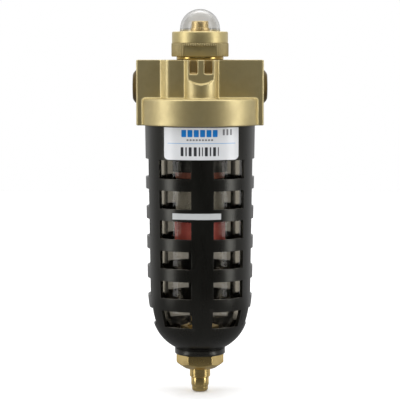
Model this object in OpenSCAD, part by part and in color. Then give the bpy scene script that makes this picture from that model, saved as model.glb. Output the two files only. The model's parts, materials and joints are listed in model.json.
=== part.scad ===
// Compressed air filter: die-cast head with a differential pressure indicator on top,
// clear bowl inside a windowed guard, and a push-up drain at the bottom.
// +Z is up, the filter's long axis is Z, the front is -Y, air goes in at -X and out at +X.

/* [Head] */
// Width of the head block across its port faces
head_w = 69; // [66:0.5:74]
// Depth from the axis to the flat front and back faces
head_y = 13.4; // [13:0.1:14.5]
// Height of the head from the collar's rim to the top face
head_h = 35.4; // [35:0.2:38]
// Outer radius of the round collar that takes the guard
collar_r = 34; // [33.8:0.1:34.4]
// Height of the collar
collar_h = 14.5; // [14:0.1:15]
// Radius of the half-round boss on the front face
boss_r = 9.3; // [9:0.1:9.6]
// How far the raised pad beside the boss stands out of the face
pad_h = 4.6; // [3:0.1:5]

/* [Ports] */
// Plain bore radius of the pipe thread
port_r = 5.55; // [5:0.05:6]
// Depth of the threaded stretch
port_depth = 13.5; // [11:0.5:14]
// How far the port boss stands out of the block
port_boss_h = 2.35; // [1.5:0.05:2.6]

/* [Guard] */
// Outer radius of the guard just under the collar
guard_r = 30.1; // [29.8:0.1:30.6]
// Outer radius where the straight taper ends
guard_low_r = 28.75; // [28.2:0.05:29.4]
// Wall thickness of the guard
guard_wall = 1.9; // [1.6:0.1:2.2]
// Angle that each window spans
window_angle = 38.6; // [34:0.2:40]
// Number of window rows
window_rows = 6; // [3:1:6]
// Turn of the guard about the axis, away from square
guard_turn = 2.65; // [-10:0.05:10]

/* [Bowl] */
// Outer radius of the clear bowl
bowl_r = 23.8; // [23.2:0.1:24]
// Wall thickness of the clear bowl
bowl_wall = 3.9; // [3:0.1:4]

/* [Element] */
// Outer radius of the filter element
element_r = 13.2; // [12:0.1:13.6]
// Length of the filter element
element_h = 22.4; // [20:0.1:24]

/* [Drain] */
// Width across the flats of the drain hexagon
hex_af = 22.7; // [22:0.1:24]
// Radius of the drain nipple
nipple_r = 4.9; // [4.7:0.05:5]
// How far the drain stem is pushed up to open
drain_travel = 2.5; // [1:0.1:2.6]

/* [Indicator] */
// Outer radius of the bonnet nut's plain upper part
nut_r = 15.3; // [15:0.1:15.6]
// Width across the two wrench flats
nut_flats = 25.6; // [25.4:0.1:27]
// Outer radius of the clear dome
dome_r = 10.9; // [10.7:0.05:11]
// Radius of the indicator slug
slug_r = 4.6; // [4:0.05:4.7]

/* [Hidden] */
$fn = 96;
eps = 0.01;
fit = 0.06;

// Heights along the axis, from the drain nipple's end upwards
hex_z = 13.1;
guard_z = 21;
hex_h = guard_z - 0.1 - hex_z;
head_z = 147.5;
head_top = head_z + head_h;
port_lead = 0.7;
boss_x = 0.5;
boss_y = -head_y - 1.6;
boss_z = head_z + 1;
ceiling_z = head_z + 9.7;
port_z = head_z + 20.8;

// Guard: straight taper, then a wide arc, then a tight nose arc, then a neck
taper_z = 58;
wide_arc_r = 62;
nose_arc_r = 23.2;
nose_centre = [3.5, 45.6];
nose_start_z = 38.5;
neck_r = 13.85;
guard_floor = 3.4;
guard_bore_r = 7.4;
thread_r = collar_r - 5;
thread_top = ceiling_z - 0.8;
ledge_top = ceiling_z - 4.4;
ledge_h = 3.3;
ledge_r = bowl_r + 0.5;
flange_r = thread_r - 2;
row_pitch = 16.2;
top_row_z = 119.2;
row_h = 10;
row_h_step = 0.15;
window_centres = [31.3, 90, 148.7, 211.3, 270, 328.7];

// Bowl
bowl_top = ceiling_z - 0.35;
bowl_arc_centre = [4.5, 46];
bowl_arc_r = bowl_r - bowl_arc_centre[0];
bowl_foot_z = guard_z + guard_floor + 0.2;
bowl_foot_r = 10.5;
bowl_floor = 30.6;
shank_r = 7;
bowl_seal_r = 25.1;
bowl_seal_section = 1.2;

// Element stack, hanging from the head's spigot
spigot_r = 10.8;
spigot_bore = 7.5;
spigot_z = 142;
deflector_z = 122;
cap_h = 3.4;
gasket_h = 0.8;
gasket_r = element_r - 0.6;
gasket_bore = spigot_bore + 0.6;
element_top = deflector_z - cap_h - gasket_h;
element_z = element_top - element_h;
element_bore = 9;
baffle_top = element_z - gasket_h;
baffle_r = 13.8;
baffle_h = 15;
baffle_plate = 2;
hub_h = 12.6;
stud_r = 2.95;
stud_z = 76.5;
stud_top = head_z + 6.5;

// Drain
sleeve_r = 5.7;
sleeve_z = 8.2;
sleeve_bore = nipple_r + fit;
shoulder_z = 11.4;
spring_chamber_top = 19;
stem_r = 2.4;
stem_bore = 3;
seat_z = 37.5;
gasket_drain_h = 1.2;
drain_nut_r = 10.4;
drain_nut_h = 4.5;
valve_seal_h = 1.45;
valve_cap_h = 2.4;

// Indicator
washer_h = 1.7;
washer_r = 12.85;
nut_z = head_top + washer_h;
knurl_r = 15.65;
knurl_h = 7.4;
nut_h = 13.6;
nut_lip = 1.8;
housing_r = 11.9;
housing_z = head_top - 8.3;
housing_spigot_r = 9;
housing_seal_z = housing_z + 3.25;
seat_top = nut_z + 13.2;
housing_top = nut_z + 15.6;
guide_r = 5.2;
piston_bore = 7.2;
piston_head_r = piston_bore - 0.07;
piston_z = nut_z + 0.9;
piston_head_h = 3.5;
piston_seal_h = 1.75;
slug_top = nut_z + 19.3;
guide_h = housing_top - seat_top + 1;
dome_z = nut_z + 15;
dome_wall = 1.5;
dome_flange_r = 11.85;
dome_flange_h = 1.6;
dome_flange_top = nut_z + nut_h - nut_lip - 0.1;
dome_flange_z = dome_flange_top - dome_flange_h;
dome_skirt_r = dome_r + 0.35;

brass = "DarkGoldenrod";
satin_gold = "DarkKhaki";
rubber = "DimGray";
red_plastic = "IndianRed";

// Points of an arc about c, from angle a0 to a1, in n steps
function arc(c, r, a0, a1, n) =
    [for (i = [0:n]) let (a = a0 + (a1 - a0) * i / n) c + r * [cos(a), sin(a)]];

// Outer radius of the guard at height z on its straight taper
function taper_r(z) =
    guard_low_r + (guard_r - guard_low_r) * (z - taper_z) / (head_z - taper_z);

// The guard's curved profile moved inwards by d, from the end of the taper down to the radius r
function guard_arcs(d, r) = concat(
    arc([guard_low_r - wide_arc_r, taper_z], wide_arc_r - d, 0,
        -asin((taper_z - nose_start_z) / wide_arc_r), 5),
    arc(nose_centre, nose_arc_r - d, -asin((nose_centre[1] - nose_start_z) / nose_arc_r) - 4,
        -acos((r - nose_centre[0]) / (nose_arc_r - d)), 8)
);

function reversed(points) = [for (i = [len(points) - 1:-1:0]) points[i]];

// Points of one ring of a coil spring's wire
function wire_ring(coil_r, wire_r, a, z, sides) =
    [for (s = [0:sides - 1]) let (b = 360 * s / sides, r = coil_r + wire_r * cos(b))
        [r * cos(a), r * sin(a), z + wire_r * sin(b)]];

// A flat-ended ring with its bore
module ring(outer, bore, z, h) {
    translate([0, 0, z]) difference() {
        cylinder(r = outer, h = h);
        translate([0, 0, -1]) cylinder(r = bore, h = h + 2);
    }
}

// An O-ring: r is its centre line's radius
module o_ring(r, section, z) {
    translate([0, 0, z]) rotate_extrude() translate([r, 0]) circle(r = section, $fn = 24);
}

// A cylinder along X from x0 to x1 at height z
module x_cylinder(r, x0, x1, z) {
    translate([x0, 0, z]) rotate([0, 90, 0]) cylinder(r = r, h = x1 - x0);
}

// A coil spring from z0 to z1
module coil_spring(coil_r, wire_r, z0, z1, turns) {
    sides = 6;
    steps = turns * 12;
    rise = (z1 - z0 - 2 * wire_r) / steps;
    points = [for (i = [0:steps]) each wire_ring(coil_r, wire_r, i * 30, z0 + wire_r + i * rise, sides)];
    walls = [for (i = [0:steps - 1], s = [0:sides - 1]) let (t = (s + 1) % sides)
        each [
            [i * sides + s, (i + 1) * sides + s, (i + 1) * sides + t],
            [i * sides + s, (i + 1) * sides + t, i * sides + t],
        ]];
    start_cap = [[for (s = [0:sides - 1]) s]];
    end_cap = [[for (s = [0:sides - 1]) steps * sides + sides - 1 - s]];
    polyhedron(points = points, faces = concat(start_cap, walls, end_cap));
}

// Plan outline of the head block with rounded corners
module block_outline() {
    edge = 0.9;
    x = head_w / 2 - edge;
    y = head_y - edge;
    polygon(concat(
        arc([x, -y], edge, -90, 0, 3),
        arc([x, y], edge, 0, 90, 3),
        arc([-x, y], edge, 90, 180, 3),
        arc([-x, -y], edge, 180, 270, 3)
    ));
}

// Plan outline of the raised pad left of the boss, with a sloped and rounded outer side
module pad_outline() {
    foot_x = -21.4;
    round_x = -16;
    round_r = 3.3;
    polygon(concat(
        [[foot_x, -head_y + 1], [foot_x, -head_y]],
        arc([round_x, -head_y - pad_h + round_r], round_r, 215, 270, 4),
        [[boss_x, -head_y - pad_h], [boss_x, -head_y + 1]]
    ));
}

// Crowned port boss, along X outside the block
module port_boss() {
    crown = 6;
    centre_r = 4.4;
    mouth_r = port_r + port_lead;
    mouth = acos((mouth_r - centre_r) / crown);
    centre_h = port_boss_h - crown * sin(mouth);
    foot = asin(-centre_h / crown);
    rotate([0, 90, 0]) rotate_extrude() polygon(concat(
        [[0, -2], [centre_r + crown * cos(foot), -2]],
        arc([centre_r, centre_h], crown, foot, mouth, 5),
        [[0, port_boss_h]]
    ));
}

// Threaded port with a lead-in chamfer, cut inwards along X from the boss face
module port_cut() {
    rotate([0, -90, 0]) union() {
        translate([0, 0, -eps]) cylinder(r1 = port_r + port_lead, r2 = port_r, h = port_lead + eps);
        cylinder(r = port_r, h = port_lead + port_depth);
    }
}

// Half-round boss with a milled flat under its top, its lower edge an arc, and two cored pockets
module front_boss() {
    height = head_top - boss_z;
    flat_y = boss_y - 6.2;
    mill_r = 11.3;
    mill_z = head_top - 1.8;
    pocket_w = 4.3;
    pocket_z = head_top - 7.6;
    pocket_depth = 5.7;
    rib_w = 3.8;
    translate([boss_x, 0, 0]) difference() {
        union() {
            translate([0, boss_y, boss_z]) cylinder(r = boss_r, h = height);
            translate([-boss_r, boss_y, boss_z]) cube([2 * boss_r, 2, height]);
        }
        translate([0, flat_y, mill_z]) rotate([90, 0, 0]) cylinder(r = mill_r, h = boss_r);
        for (side = [-1, 1])
            translate([side * (rib_w + pocket_w) / 2 - pocket_w / 2, flat_y - 1, pocket_z])
                cube([pocket_w, pocket_depth + 1, height]);
    }
}

module head_solid() {
    translate([0, 0, head_z]) linear_extrude(head_h) block_outline();
    for (turn = [0, 180]) rotate([0, 0, turn]) {
        translate([0, 0, head_z]) linear_extrude(head_h) pad_outline();
        translate([head_w / 2, 0, port_z]) port_boss();
        front_boss();
    }
    translate([0, 0, head_z]) rotate_extrude() polygon(concat(
        [[0, 0], [collar_r, 0]],
        arc([collar_r - 0.8, collar_h - 0.8], 0.8, 0, 90, 4),
        [[0, collar_h]]
    ));
    translate([0, 0, spigot_z]) cylinder(r = spigot_r, h = port_z - 4 - spigot_z);
}

// The seat for the guard and bowl, with the seal groove and the inlet chamber above it
module head_cavity() {
    chamber = [11.8, 21];
    chamber_h = 3;
    groove = bowl_seal_section + 0.15;
    groove_h = 2.2;
    ring(thread_r + fit, spigot_r, head_z - 1, ceiling_z - head_z + 1);
    ring(bowl_seal_r + groove, bowl_seal_r - groove, ceiling_z - 1, groove_h + 1);
    ring(chamber[1], chamber[0], ceiling_z - 1, chamber_h + 1);
}

module head_passages() {
    passage_r = 4.6;
    inlet_x = -16.4;
    inlet_end = -13;
    inlet_r = 4.2;
    port_end = head_w / 2 - 8;
    bore_top = head_top - 12.9;
    for (side = [-1, 1]) {
        mirror([side < 0 ? 1 : 0, 0, 0]) translate([head_w / 2 + port_boss_h, 0, port_z]) port_cut();
    }
    x_cylinder(passage_r, 0, port_end, port_z);
    x_cylinder(passage_r, -port_end, inlet_end, port_z);
    translate([inlet_x, 0, ceiling_z]) cylinder(r = inlet_r, h = port_z - ceiling_z);
    translate([0, 0, spigot_z - 1]) cylinder(r = spigot_bore, h = bore_top - spigot_z + 1);
    translate([0, 0, housing_z - 0.2]) cylinder(r = housing_spigot_r, h = head_top);
}

// Web across the spigot that the element stud screws into
module stud_web() {
    web_h = 13;
    web_w = 3.2;
    hub_r = 4.6;
    reach = spigot_bore + 0.5;
    difference() {
        union() {
            translate([0, 0, spigot_z + 1]) cylinder(r = hub_r, h = web_h);
            translate([-reach, -web_w / 2, spigot_z + 1]) cube([2 * reach, web_w, web_h]);
        }
        translate([0, 0, spigot_z]) cylinder(r = stud_r, h = stud_top - spigot_z);
    }
}

module head_casting() {
    color(satin_gold) union() {
        difference() {
            head_solid();
            head_cavity();
            head_passages();
        }
        stud_web();
    }
}

module neck_washer() {
    color(brass) ring(washer_r, housing_spigot_r + fit, head_top, washer_h);
}

// Straight knurl: a toothed outline
module knurl_outline() {
    teeth = 72;
    depth = 0.28;
    polygon([for (i = [0:2 * teeth - 1]) let (a = 180 * i / teeth, r = knurl_r - (i % 2) * depth)
        r * [cos(a), sin(a)]]);
}

module bonnet_nut() {
    flat_h = 6;
    cutter = 10;
    edge = 0.6;
    color(satin_gold) translate([0, 0, nut_z]) difference() {
        union() {
            linear_extrude(knurl_h) knurl_outline();
            rotate_extrude() polygon([
                [0, knurl_h - 1], [nut_r, knurl_h - 1], [nut_r, nut_h - edge], [nut_r - edge, nut_h],
                [0, nut_h],
            ]);
        }
        translate([0, 0, -1]) cylinder(r = housing_r + fit, h = nut_h - nut_lip + 1);
        cylinder(r = dome_skirt_r + 0.1, h = nut_h + 1);
        for (side = [-1, 1])
            translate([-knurl_r, side * (nut_flats + cutter) / 2 - cutter / 2, -1])
                cube([2 * knurl_r, cutter, flat_h + 1]);
    }
}

module sight_dome() {
    skirt_h = 1.4;
    inner = dome_r - dome_wall;
    color("white", 0.4) rotate_extrude() polygon(concat(
        arc([0, dome_z], dome_r, 90, 0, 18),
        [[dome_skirt_r, dome_z - skirt_h], [dome_skirt_r, dome_flange_top], [dome_flange_r, dome_flange_top],
            [dome_flange_r, dome_flange_z], [inner, dome_flange_z]],
        arc([0, dome_z], inner, 0, 90, 18)
    ));
}

module dome_seal() {
    section = 0.6;
    color(rubber) o_ring(10.5, section, dome_flange_z - section - 0.05);
}

// Sleeve that guides the indicator piston and carries the bonnet nut's thread
module indicator_housing() {
    shoulder = dome_flange_z - 1.3;
    seat_r = dome_r - dome_wall - 0.25;
    bore_top = housing_top - guide_h;
    groove_h = 1.5;
    color(brass) difference() {
        union() {
            translate([0, 0, housing_z]) cylinder(r = housing_spigot_r, h = nut_z - housing_z + 1);
            translate([0, 0, nut_z]) cylinder(r = housing_r, h = shoulder - nut_z);
            translate([0, 0, nut_z + 1]) cylinder(r = seat_r, h = seat_top - nut_z - 1);
            translate([0, 0, nut_z + 1]) cylinder(r = guide_r, h = housing_top - nut_z - 1);
        }
        translate([0, 0, housing_z - 1]) cylinder(r = piston_bore, h = bore_top - housing_z + 1);
        translate([0, 0, bore_top - 1]) cylinder(r = slug_r + fit, h = guide_h + 2);
        ring(housing_spigot_r + 1, 8.1, housing_seal_z - groove_h / 2, groove_h);
    }
}

module housing_seal() {
    color(rubber) o_ring(8.55, 0.42, housing_seal_z);
}

module indicator_circlip() {
    thickness = 0.8;
    gap = 3;
    color("silver") difference() {
        ring(piston_bore - 0.02, 5.6, piston_z - 0.1 - thickness, thickness);
        translate([0, -gap / 2, piston_z - 2]) cube([piston_bore, gap, 3]);
    }
}

module indicator_piston() {
    edge = 0.6;
    top = slug_top - piston_z;
    groove_r = 6;
    groove_h = 1.2;
    groove_z = piston_seal_h - groove_h / 2;
    color(brass) translate([0, 0, piston_z]) rotate_extrude() polygon(concat(
        [[0, 0], [piston_head_r, 0], [piston_head_r, groove_z], [groove_r, groove_z],
            [groove_r, groove_z + groove_h], [piston_head_r, groove_z + groove_h],
            [piston_head_r, piston_head_h], [slug_r, piston_head_h]],
        arc([slug_r - edge, top - edge], edge, 0, 90, 4),
        [[0, top]]
    ));
}

module piston_seal() {
    color(rubber) o_ring(6.56, 0.54, piston_z + piston_seal_h);
}

module indicator_spring() {
    color("silver") coil_spring(5.9, 0.4, piston_z + piston_head_h + 0.05, housing_top - guide_h - 0.05, 4);
}

module bowl_seal() {
    color(rubber) o_ring(bowl_seal_r, bowl_seal_section, ceiling_z + 0.9);
}

// Swirl ring: a plate with slanted vanes round a skirt that shades the element
module deflector() {
    vanes = 12;
    skirt_r = 15;
    plate_r = 18.6;
    skirt_wall = 1.6;
    plate_h = 2;
    vane_h = 12;
    vane = [6, 1.2, 18];
    lean = 30;
    color("DarkSlateGray") difference() {
        union() {
            translate([0, 0, spigot_z - plate_h]) cylinder(r = plate_r, h = plate_h);
            translate([0, 0, deflector_z]) cylinder(r = skirt_r, h = spigot_z - deflector_z);
            intersection() {
                translate([0, 0, spigot_z - vane_h]) cylinder(r = plate_r, h = vane_h);
                for (i = [0:vanes - 1]) rotate([0, 0, i * 360 / vanes])
                    translate([skirt_r - 1, 0, spigot_z - 7]) rotate([lean, 0, 0])
                        translate([0, -vane[1] / 2, -vane[2] / 2]) cube(vane);
            }
        }
        translate([0, 0, deflector_z - 1])
            cylinder(r = skirt_r - skirt_wall, h = spigot_z - deflector_z - plate_h + 1);
        translate([0, 0, deflector_z]) cylinder(r = spigot_bore, h = spigot_z);
    }
    color("DarkSlateGray")
        ring(spigot_r, spigot_bore, deflector_z, spigot_z - deflector_z - plate_h + 0.5);
}

// Seat between the deflector's tube and the element
module element_cap() {
    color(red_plastic) ring(baffle_r - 0.4, spigot_bore, deflector_z - cap_h, cap_h);
}

module element_gasket_top() {
    color(rubber) ring(gasket_r, gasket_bore, element_top, gasket_h);
}

module filter_element() {
    color("WhiteSmoke") ring(element_r, element_bore, element_z, element_h);
}

module element_gasket_bottom() {
    color(rubber) ring(gasket_r, gasket_bore, baffle_top, gasket_h);
}

// Quiet-zone baffle: a plate with a skirt and ribs, held up by the retaining nut
module baffle() {
    wall = 1.6;
    hub_r = 5.5;
    rib_w = 1.4;
    rib_z = 4;
    recess_r = 7;
    foot = baffle_top - baffle_h;
    color(red_plastic) difference() {
        union() {
            ring(baffle_r, baffle_r - wall, foot, baffle_h);
            translate([0, 0, baffle_top - baffle_plate]) cylinder(r = baffle_r, h = baffle_plate);
            translate([0, 0, baffle_top - hub_h]) cylinder(r = hub_r, h = hub_h - 1);
            for (turn = [0, 90]) rotate([0, 0, turn])
                translate([-baffle_r + 1, -rib_w / 2, foot + rib_z])
                    cube([2 * baffle_r - 2, rib_w, baffle_h - rib_z - 1]);
        }
        translate([0, 0, foot - 1]) cylinder(r = stud_r + 0.1, h = baffle_h + 2);
        translate([0, 0, foot]) cylinder(r = recess_r, h = baffle_h - hub_h);
    }
}

module element_stud() {
    color(brass) translate([0, 0, stud_z]) cylinder(r = stud_r, h = stud_top - stud_z);
}

module retaining_nut() {
    nut_height = 4;
    color(brass) translate([0, 0, baffle_top - hub_h - nut_height]) difference() {
        cylinder(r = 5.5, h = nut_height, $fn = 6);
        translate([0, 0, -1]) cylinder(r = stud_r, h = nut_height + 2);
    }
}

// Clear bowl: flange on top, straight wall, rounded bottom, and a foot with the drain hole
module bowl() {
    inner_r = bowl_r - bowl_wall;
    inner_arc_r = bowl_arc_r - bowl_wall;
    spot_r = 11.4;
    color("lightcyan", 0.4) difference() {
        rotate_extrude() polygon(concat(
            [[0, bowl_foot_z], [bowl_foot_r, bowl_foot_z], [bowl_foot_r, bowl_foot_z + 3]],
            arc(bowl_arc_centre, bowl_arc_r, -68, 0, 10),
            [[bowl_r, ledge_top + 0.2], [flange_r, ledge_top + 0.2], [flange_r, bowl_top],
                [inner_r, bowl_top]],
            arc(bowl_arc_centre, inner_arc_r, 0, -90, 12),
            [[0, bowl_arc_centre[1] - inner_arc_r]]
        ));
        translate([0, 0, bowl_foot_z - 1]) cylinder(r = shank_r, h = 20);
        translate([0, 0, bowl_floor]) cylinder(r = spot_r, h = 4);
    }
}

// Hexagon with a chamfered underside, a sleeve below and a threaded shank above
module drain_body() {
    corner_r = hex_af / 2 / cos(30);
    chamfer_r = 8.6;
    chamfer_slope = 1.5;
    color(brass) difference() {
        union() {
            intersection() {
                translate([0, 0, hex_z]) cylinder(r = corner_r, h = hex_h, $fn = 6);
                translate([0, 0, hex_z])
                    cylinder(r1 = chamfer_r, r2 = chamfer_r + hex_h * chamfer_slope, h = hex_h);
            }
            translate([0, 0, sleeve_z]) cylinder(r = sleeve_r, h = hex_z - sleeve_z + 1);
            translate([0, 0, hex_z + 1]) cylinder(r = shank_r, h = seat_z - hex_z - 1);
        }
        translate([0, 0, sleeve_z - 1]) cylinder(r = sleeve_bore, h = spring_chamber_top - sleeve_z + 1);
        translate([0, 0, hex_z]) cylinder(r = stem_bore, h = seat_z);
    }
}

module drain_gasket() {
    color(rubber) ring(10.8, shank_r, bowl_floor, gasket_drain_h);
}

module drain_nut() {
    color(brass) translate([0, 0, bowl_floor + gasket_drain_h]) difference() {
        cylinder(r = drain_nut_r, h = drain_nut_h, $fn = 6);
        translate([0, 0, -1]) cylinder(r = shank_r, h = drain_nut_h + 2);
    }
}

// One column of windows, centred on the angle a
module window_column(a) {
    rotate([0, 0, a - window_angle / 2]) for (row = [0:window_rows - 1])
        rotate_extrude(angle = window_angle) translate([nose_arc_r - 2, top_row_z - row * row_pitch])
            square([guard_r, row_h - row * row_h_step]);
}

// Guard: threaded rim and ledge inside the head's collar, tapered wall with windows, nose and neck
module bowl_guard() {
    shoulder_z = head_z - 0.2;
    edge = 0.5;
    foot_room = bowl_foot_r + edge;
    ledge_z = ledge_top - ledge_h;
    color([0.09, 0.09, 0.08]) rotate([0, 0, guard_turn]) difference() {
        rotate_extrude() polygon(concat(
            [[guard_r, shoulder_z], [thread_r, shoulder_z], [thread_r, thread_top],
                [flange_r + 0.3, thread_top], [flange_r + 0.3, ledge_top], [ledge_r, ledge_top],
                [ledge_r, ledge_z], [taper_r(ledge_z - 3) - guard_wall, ledge_z - 3]],
            guard_arcs(guard_wall, foot_room),
            [[foot_room, guard_z + guard_floor], [guard_bore_r, guard_z + guard_floor],
                [guard_bore_r, guard_z], [neck_r - edge, guard_z], [neck_r, guard_z + edge]],
            reversed(guard_arcs(0, neck_r))
        ));
        for (a = window_centres) window_column(a - 90);
    }
}

// Thin sheet wrapped on the guard's taper between two angles from the front and two heights
module wrapped_sheet(a0, a1, z0, z1) {
    glue = 0.04;
    thickness = 0.15;
    low_r = taper_r(z0) + glue;
    high_r = taper_r(z1) + glue;
    rotate([0, 0, a0 - 90]) rotate_extrude(angle = a1 - a0) polygon([
        [low_r, z0], [low_r + thickness, z0], [high_r + thickness, z1], [high_r, z1],
    ]);
}

module product_label() {
    z0 = 129.7;
    z1 = head_z - 0.5;
    half_angle = 41.5;
    turn = 1.8;
    half_w = guard_r * sin(half_angle);
    corner = 2.2;
    spare = 4;
    color("white") intersection() {
        wrapped_sheet(turn - half_angle - spare, turn + half_angle + spare, z0 - spare, z1);
        rotate([0, 0, turn]) rotate([90, 0, 0]) linear_extrude(2 * guard_r) {
            translate([-half_w, z0 + corner]) square([2 * half_w, z1 - z0]);
            translate([-half_w + corner, z0]) square([2 * (half_w - corner), z1 - z0]);
            for (side = [-1, 1]) translate([side * (half_w - corner), z0 + corner]) circle(r = corner);
        }
    }
}

module marker_strip() {
    from = -30;
    to = 22.5;
    z0 = 97.7;
    height = 3.3;
    color("gainsboro") wrapped_sheet(from, to, z0, z0 + height);
}

// Hollow stem: the nipple below, a shoulder for the spring, and a thin rod up to the valve
module drain_stem() {
    tip = 1.5;
    tip_r = nipple_r - 0.45;
    tip_h = 3.6;
    groove = [7.8, sleeve_z + 0.5];
    groove_r = nipple_r - 0.35;
    passage_r = 1.6;
    cross_r = 0.8;
    top = seat_z + valve_seal_h + valve_cap_h + 0.3;
    color(brass) difference() {
        rotate_extrude() polygon(concat(
            [[0, 0]],
            arc([tip_r - tip, tip], tip, -90, 0, 5),
            [[tip_r, tip_h - 0.4], [nipple_r, tip_h], [nipple_r, groove[0]], [groove_r, groove[0]],
                [groove_r, groove[1]], [nipple_r, groove[1]], [nipple_r, shoulder_z],
                [stem_r, shoulder_z], [stem_r, top], [0, top]]
        ));
        translate([0, 0, -1]) cylinder(r = passage_r, h = shoulder_z + 3);
        x_cylinder(cross_r, -stem_r - 1, stem_r + 1, shoulder_z + 1.2);
    }
}

module stem_seal() {
    color(rubber) ring(4.8, stem_r, seat_z + 0.05, valve_seal_h);
}

module valve_cap() {
    color(brass) ring(5, stem_r, seat_z + 0.05 + valve_seal_h, valve_cap_h);
}

module drain_spring() {
    color("silver") coil_spring(3.7, 0.4, shoulder_z + 0.05, spring_chamber_top - 0.05, 4);
}

head_casting();
neck_washer();
bonnet_nut();
sight_dome();
dome_seal();
indicator_housing();
housing_seal();
indicator_circlip();
indicator_piston();
piston_seal();
indicator_spring();
bowl_seal();
deflector();
element_cap();
element_gasket_top();
filter_element();
element_gasket_bottom();
baffle();
element_stud();
retaining_nut();
bowl();
drain_body();
drain_gasket();
drain_nut();
bowl_guard();
product_label();
marker_strip();
drain_stem();
stem_seal();
valve_cap();
drain_spring();
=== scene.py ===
"""Looks of the compressed air filter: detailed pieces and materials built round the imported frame."""

import json
import math

import bmesh
import bpy
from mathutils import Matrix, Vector

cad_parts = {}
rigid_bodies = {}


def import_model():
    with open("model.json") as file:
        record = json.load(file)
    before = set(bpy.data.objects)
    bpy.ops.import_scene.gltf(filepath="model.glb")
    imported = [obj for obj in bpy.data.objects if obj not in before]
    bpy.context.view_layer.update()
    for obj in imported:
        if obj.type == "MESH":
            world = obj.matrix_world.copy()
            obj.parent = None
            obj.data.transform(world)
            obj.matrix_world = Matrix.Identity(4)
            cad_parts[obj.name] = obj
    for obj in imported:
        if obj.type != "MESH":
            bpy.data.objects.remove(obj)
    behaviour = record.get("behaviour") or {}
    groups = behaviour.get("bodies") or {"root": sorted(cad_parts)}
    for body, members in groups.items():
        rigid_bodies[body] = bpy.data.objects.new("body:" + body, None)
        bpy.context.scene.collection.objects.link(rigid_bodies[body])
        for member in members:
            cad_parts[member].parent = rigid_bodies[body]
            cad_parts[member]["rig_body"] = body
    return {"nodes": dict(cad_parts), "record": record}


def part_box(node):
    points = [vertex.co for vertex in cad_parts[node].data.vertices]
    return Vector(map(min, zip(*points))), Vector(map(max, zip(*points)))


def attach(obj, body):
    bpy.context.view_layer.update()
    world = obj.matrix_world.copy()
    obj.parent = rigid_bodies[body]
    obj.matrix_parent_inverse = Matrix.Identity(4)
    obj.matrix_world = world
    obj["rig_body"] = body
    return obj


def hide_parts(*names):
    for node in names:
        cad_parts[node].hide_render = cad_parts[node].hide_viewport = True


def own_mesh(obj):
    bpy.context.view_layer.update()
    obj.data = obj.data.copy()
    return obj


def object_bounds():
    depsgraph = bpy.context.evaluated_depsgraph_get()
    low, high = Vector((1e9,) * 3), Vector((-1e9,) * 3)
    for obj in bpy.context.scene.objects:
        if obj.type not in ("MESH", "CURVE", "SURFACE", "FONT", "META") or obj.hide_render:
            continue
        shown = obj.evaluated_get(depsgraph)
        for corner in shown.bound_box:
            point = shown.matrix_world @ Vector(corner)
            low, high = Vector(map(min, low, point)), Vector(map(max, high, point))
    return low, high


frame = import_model()
CAD_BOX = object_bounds()
MM = 0.001

# ---------------------------------------------------------------- camera

CAMERA_DISTANCE = 990 * MM
CAMERA_HEIGHT = 188.25 * MM
LOOK_AT_HEIGHT = 106 * MM
LENS_MM = 162.6
SENSOR_MM = 36


def make_camera():
    """A long lens, a little above the filter and looking slightly down at its front."""
    data = bpy.data.cameras.new("camera")
    data.lens = LENS_MM
    data.sensor_width = SENSOR_MM
    data.clip_end = 20
    camera = bpy.data.objects.new("camera", data)
    bpy.context.scene.collection.objects.link(camera)
    camera.location = (0, -CAMERA_DISTANCE, CAMERA_HEIGHT)
    view = Vector((0, 0, LOOK_AT_HEIGHT)) - camera.location
    camera.rotation_euler = view.to_track_quat("-Z", "Y").to_euler()
    bpy.context.scene.camera = camera


make_camera()
bpy.context.scene.view_settings.view_transform = "Standard"

# ---------------------------------------------------------------- shader helpers


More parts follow.
